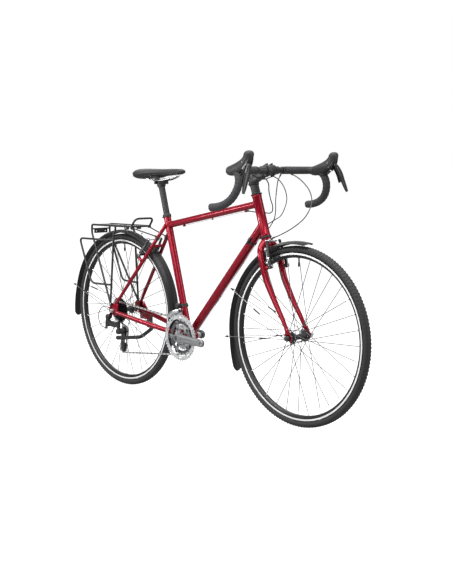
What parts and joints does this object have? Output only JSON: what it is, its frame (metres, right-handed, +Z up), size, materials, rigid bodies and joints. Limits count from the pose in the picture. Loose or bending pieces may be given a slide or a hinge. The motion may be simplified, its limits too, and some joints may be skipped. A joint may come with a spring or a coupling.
{
  "type": "touring bicycle",
  "caption": "Drop-bar touring bicycle with rim brakes, derailleur gears, mudguards, rear rack and folded kickstand; wheels, steering, cranks, gears, brakes, saddle and stand all move.",
  "frame": {"origin": "middle of the bicycle's box, on the ground between the two wheels", "axes": "+X forwards to the front wheel, +Y to the rider's left, +Z up"},
  "size_m": [1.7862, 0.571, 1.0318],
  "materials": {
    "paint": "deep crimson metallic gloss",
    "black_alloy": "satin black coated aluminium",
    "tape": "matt black tape and rubber",
    "silver": "polished silver",
    "grey_alloy": "anodised grey",
    "steel": "oiled steel",
    "tyre": "matt black tread",
    "black_plastic": "satin black plastic",
    "saddle_cover": "matt black cover"
  },
  "bodies": {
    "frame": {"down_tube_and_head_tube": "paint", "top_tube": "paint", "seat_tube_and_bottom_bracket": "paint", "seat_collar": "black_alloy", "chainstay_left": "paint", "chainstay_right": "paint", "seatstay_left": "paint", "seatstay_right": "paint", "headset_lower": "black_alloy", "rear_axle_and_skewer": "silver", "rear_rack_deck": "black_alloy", "rear_rack_side_left": "black_alloy", "rear_rack_side_right": "black_alloy", "rear_mudguard": "black_plastic", "front_derailleur_clamp": "black_alloy", "rear_derailleur_mount": "black_alloy", "kickstand_bracket": "black_alloy", "chain": "steel", "rear_brake_housing": "black_plastic", "left_shift_housing": "black_plastic", "right_shift_housing": "black_plastic", "rear_gear_housing": "black_plastic"},
    "steering": {"fork": "paint", "headset_cover_and_spacers": "black_alloy", "stem": "black_alloy", "handlebar": "black_alloy", "bar_tape_left": "tape", "bar_tape_right": "tape", "brake_hood_left": "tape", "brake_hood_right": "tape", "front_mudguard": "black_plastic", "front_axle_and_skewer": "silver", "front_brake_housing": "black_plastic"},
    "front_wheel": {"front_tyre": "tyre", "front_rim": "black_alloy", "front_hub_and_spokes": "silver"},
    "rear_wheel": {"rear_tyre": "tyre", "rear_rim": "black_alloy", "rear_hub_and_spokes": "silver"},
    "cassette": {"cassette": "steel"},
    "crankset": {"crankset_right": "grey_alloy", "crank_left": "grey_alloy"},
    "front_derailleur_cage": {"front_derailleur_cage": "silver"},
    "rear_derailleur_link": {"rear_derailleur_link": "black_alloy"},
    "rear_derailleur_knuckle": {"rear_derailleur_knuckle": "black_alloy"},
    "rear_derailleur_cage": {"rear_derailleur_cage": "black_alloy"},
    "guide_pulley": {"guide_pulley": "black_plastic"},
    "tension_pulley": {"tension_pulley": "black_plastic"},
    "brake_lever_left": {"brake_lever_left": "black_alloy"},
    "brake_lever_right": {"brake_lever_right": "black_alloy"},
    "front_brake_arm_left": {"front_brake_arm_left": "black_alloy"},
    "front_brake_arm_right": {"front_brake_arm_right": "black_alloy"},
    "rear_brake_arm_left": {"rear_brake_arm_left": "black_alloy"},
    "rear_brake_arm_right": {"rear_brake_arm_right": "black_alloy"},
    "seatpost": {"seatpost": "black_alloy"},
    "saddle": {"saddle": "saddle_cover", "saddle_rails_and_cradle": "silver"},
    "kickstand_leg": {"kickstand_leg": "black_alloy"},
    "front_quick_release_lever": {"front_quick_release_lever": "silver"},
    "rear_quick_release_lever": {"rear_quick_release_lever": "silver"}
  },
  "joints": [
    {"name": "steering", "type": "hinge", "parent": "frame", "child": "steering", "pos_m": [0.37731, 0, 0.713], "axis": [-0.309, 0, 0.9511], "range_deg": [-50, 50], "deforming": ["rear_brake_housing", "left_shift_housing", "right_shift_housing"]},
    {"name": "front_wheel_spin", "type": "hinge", "parent": "steering", "child": "front_wheel", "pos_m": [0.5501, 0, 0.343], "axis": [0, 1, 0], "continuous": true},
    {"name": "rear_wheel_spin", "type": "hinge", "parent": "frame", "child": "rear_wheel", "pos_m": [-0.5149, 0, 0.343], "axis": [0, 1, 0], "continuous": true},
    {"name": "crank_spin", "type": "hinge", "parent": "frame", "child": "crankset", "pos_m": [-0.07357, 0, 0.272], "axis": [0, 1, 0], "continuous": true},
    {"name": "cassette_spin", "type": "hinge", "parent": "frame", "child": "cassette", "pos_m": [-0.5149, 0, 0.343], "axis": [0, 1, 0], "continuous": true},
    {"name": "front_derailleur_shift", "type": "slide", "parent": "frame", "child": "front_derailleur_cage", "axis": [0, 1, 0], "range_m": [-0.008, 0.008], "stiffness_N_per_m": 400, "deforming": ["chain"]},
    {"name": "rear_derailleur_shift", "type": "hinge", "parent": "frame", "child": "rear_derailleur_link", "pos_m": [-0.5319, -0.08, 0.315], "axis": [0, 0, 1], "range_deg": [-16, 9.5], "stiffness_Nm_per_rad": 3, "deforming": ["chain"]},
    {"name": "rear_derailleur_parallel", "type": "hinge", "parent": "rear_derailleur_link", "child": "rear_derailleur_knuckle", "pos_m": [-0.4619, -0.08, 0.286], "axis": [0, 0, 1], "range_deg": [-9.5, 16]},
    {"name": "rear_derailleur_tension", "type": "hinge", "parent": "rear_derailleur_knuckle", "child": "rear_derailleur_cage", "pos_m": [-0.4649, -0.043, 0.255], "axis": [0, 1, 0], "range_deg": [-20, 40], "stiffness_Nm_per_rad": 1, "deforming": ["chain"]},
    {"name": "guide_pulley_spin", "type": "hinge", "parent": "rear_derailleur_cage", "child": "guide_pulley", "pos_m": [-0.4649, -0.043, 0.255], "axis": [0, 1, 0], "continuous": true},
    {"name": "tension_pulley_spin", "type": "hinge", "parent": "rear_derailleur_cage", "child": "tension_pulley", "pos_m": [-0.4729, -0.043, 0.178], "axis": [0, 1, 0], "continuous": true},
    {"name": "brake_lever_left_pull", "type": "hinge", "parent": "steering", "child": "brake_lever_left", "pos_m": [0.4994, 0.22802, 0.99143], "axis": [0, 0.9121, 0.4099], "range_deg": [0, 20], "stiffness_Nm_per_rad": 1.5},
    {"name": "brake_lever_right_pull", "type": "hinge", "parent": "steering", "child": "brake_lever_right", "pos_m": [0.4994, -0.22802, 0.99143], "axis": [0, 0.9121, -0.4099], "range_deg": [0, 20], "stiffness_Nm_per_rad": 1.5},
    {"name": "front_brake_left_close", "type": "hinge", "parent": "steering", "child": "front_brake_arm_left", "pos_m": [0.41616, 0.044, 0.59343], "axis": [0.9511, 0, 0.309], "range_deg": [0, 2.6]},
    {"name": "front_brake_right_close", "type": "hinge", "parent": "steering", "child": "front_brake_arm_right", "pos_m": [0.41616, -0.044, 0.59343], "axis": [0.9511, 0, 0.309], "range_deg": [-2.6, 0], "deforming": ["front_brake_housing"]},
    {"name": "rear_brake_left_close", "type": "hinge", "parent": "frame", "child": "rear_brake_arm_left", "pos_m": [-0.33294, 0.044, 0.57239], "axis": [-0.7816, 0, 0.6238], "range_deg": [-2.6, 0]},
    {"name": "rear_brake_right_close", "type": "hinge", "parent": "frame", "child": "rear_brake_arm_right", "pos_m": [-0.33294, -0.044, 0.57239], "axis": [-0.7816, 0, 0.6238], "range_deg": [0, 2.6]},
    {"name": "seatpost_height", "type": "slide", "parent": "frame", "child": "seatpost", "axis": [-0.2689, 0, 0.9632], "range_m": [-0.06, 0.04]},
    {"name": "saddle_tilt", "type": "hinge", "parent": "seatpost", "child": "saddle", "pos_m": [-0.25052, 0, 0.90576], "axis": [0, 1, 0], "range_deg": [-10, 10]},
    {"name": "kickstand_swing", "type": "hinge", "parent": "frame", "child": "kickstand_leg", "pos_m": [-0.4369, 0.084, 0.251], "axis": [-0.1977, 0.9803, 0], "range_deg": [-92, 0]},
    {"name": "front_quick_release_throw", "type": "hinge", "parent": "steering", "child": "front_quick_release_lever", "pos_m": [0.5501, 0.07305, 0.343], "axis": [-0.342, 0, -0.9397], "range_deg": [0, 150]},
    {"name": "rear_quick_release_throw", "type": "hinge", "parent": "frame", "child": "rear_quick_release_lever", "pos_m": [-0.5149, 0.09055, 0.343], "axis": [-0.342, 0, -0.9397], "range_deg": [0, 150]}
  ],
  "couplings": [
    {"joint": "cassette_spin", "follows": "crank_spin", "ratio": 1.8},
    {"joint": "guide_pulley_spin", "follows": "crank_spin", "ratio": -3.2727},
    {"joint": "tension_pulley_spin", "follows": "crank_spin", "ratio": 3.2727},
    {"joint": "rear_derailleur_parallel", "follows": "rear_derailleur_shift", "ratio": -1},
    {"joint": "front_brake_left_close", "follows": "brake_lever_left_pull", "ratio": 0.13},
    {"joint": "front_brake_right_close", "follows": "brake_lever_left_pull", "ratio": -0.13},
    {"joint": "rear_brake_left_close", "follows": "brake_lever_right_pull", "ratio": -0.13},
    {"joint": "rear_brake_right_close", "follows": "brake_lever_right_pull", "ratio": 0.13}
  ]
}
